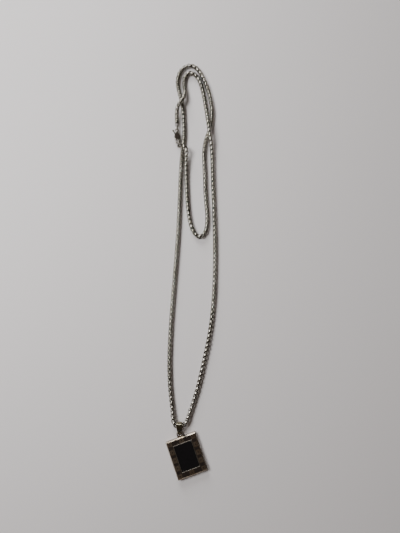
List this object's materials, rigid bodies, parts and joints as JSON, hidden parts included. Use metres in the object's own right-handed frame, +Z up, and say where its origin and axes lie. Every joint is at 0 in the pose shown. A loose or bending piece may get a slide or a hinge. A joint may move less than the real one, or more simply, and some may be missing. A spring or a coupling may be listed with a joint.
{
  "type": "pendant necklace",
  "caption": "Round box chain necklace in a double loop, closed by a lobster clasp, with a rectangular pendant with a black panel and a key border on a tapered bail.",
  "frame": {"origin": "bottom centre of the necklace's box, on the surface it lies on", "axes": "+Y from the pendant to the top of the loop, +Z up from the surface"},
  "size_m": [0.0269, 0.2262, 0.0056],
  "materials": {
    "chain_steel": "polished stainless steel",
    "clasp_steel": "polished stainless steel",
    "bail_steel": "polished stainless steel",
    "pendant_steel": "polished stainless steel",
    "black_enamel": "glossy black enamel",
    "black_panel": "glossy black panel"
  },
  "bodies": {
    "chain": {"chain_clasp_end": "chain_steel", "chain_inner_top": "chain_steel", "chain_right_crossing": "chain_steel", "chain_right_side": "chain_steel", "chain_lower_right": "chain_steel", "chain_in_bail": "chain_steel", "chain_lower_left": "chain_steel", "chain_left_side": "chain_steel", "chain_left_crossing": "chain_steel", "chain_outer_top": "chain_steel", "chain_inner_right": "chain_steel", "chain_inner_bend": "chain_steel", "chain_inner_left": "chain_steel", "chain_catch_end": "chain_steel", "end_link_clasp": "chain_steel", "end_link_catch": "chain_steel"},
    "clasp_ring": {"clasp_ring": "clasp_steel"},
    "clasp": {"clasp_body": "clasp_steel", "clasp_pin": "clasp_steel", "clasp_spring": "clasp_steel"},
    "lever": {"clasp_lever": "clasp_steel"},
    "catch_ring": {"catch_ring": "clasp_steel"},
    "bail": {"bail": "bail_steel"},
    "pendant": {"pendant_frame": "pendant_steel", "key_enamel": "black_enamel", "panel_line": "pendant_steel", "centre_panel": "black_panel", "back_plate": "pendant_steel", "pendant_lug": "pendant_steel"}
  },
  "joints": [
    {"name": "clasp_ring_swing", "type": "hinge", "parent": "chain", "child": "clasp_ring", "pos_m": [-0.00865, 0.07655, 0.00155], "axis": [0, 0, 1], "range_deg": [-0.5, 0.5]},
    {"name": "clasp_swing", "type": "hinge", "parent": "clasp_ring", "child": "clasp", "pos_m": [-0.00865, 0.07342, 0.0015], "axis": [0, 0, 1], "range_deg": [-0.6, 0.6]},
    {"name": "lever_hinge", "type": "hinge", "parent": "clasp", "child": "lever", "pos_m": [-0.00922, 0.07005, 0.0015], "axis": [0, 0, 1], "range_deg": [0, 24], "stiffness_Nm_per_rad": 0.004, "springref_deg": -17.19},
    {"name": "catch_ring_turn", "type": "hinge", "parent": "chain", "child": "catch_ring", "pos_m": [-0.00772, 0.06513, 0.00235], "axis": [-0.9539, -0.3, 0], "continuous": true},
    {"name": "bail_swing", "type": "hinge", "parent": "chain", "child": "bail", "pos_m": [-0.0063, -0.0863, 0.00236], "axis": [-1, 0, 0], "range_deg": [0, 150]},
    {"name": "pendant_swivel", "type": "hinge", "parent": "bail", "child": "pendant", "pos_m": [-0.0063, -0.0902, 0.00145], "axis": [0, 0, 1], "range_deg": [-64.7, 25.3]}
  ]
}
